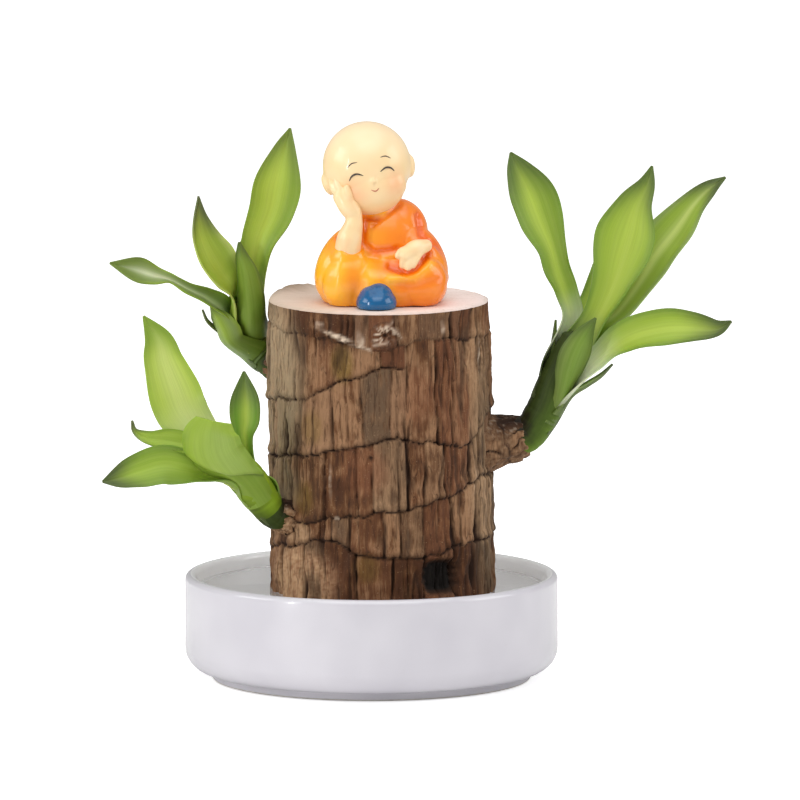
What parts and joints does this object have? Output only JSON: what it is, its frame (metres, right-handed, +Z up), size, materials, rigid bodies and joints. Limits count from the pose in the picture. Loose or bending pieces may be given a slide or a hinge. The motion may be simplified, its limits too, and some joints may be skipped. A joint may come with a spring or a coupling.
{
  "type": "potted brazilian wood plant",
  "caption": "Sawn rooted stem with bark and leafy side shoots, standing in a round water dish, with a small seated monk ornament resting on its flat top.",
  "frame": {"origin": "centre of the dish's flat underside, on the surface that it stands on", "axes": "+Z up; the front of the plant, where the ornament faces, looks along -Y; +X to the right as seen from the front"},
  "size_m": [0.1854, 0.11, 0.1664],
  "materials": {
    "glaze": "smooth white glaze",
    "water": "clear still water",
    "bark": "rough plated bark with a sawn top",
    "leaf": "satin green leaf with a paler middle stripe",
    "resin": "glossy painted resin"
  },
  "bodies": {
    "root": {"dish": "glaze", "water": "water", "trunk": "bark", "shoot_upper_left": "leaf", "shoot_lower_left": "leaf", "shoot_right": "leaf", "monk_figurine": "resin"}
  },
  "joints": []
}
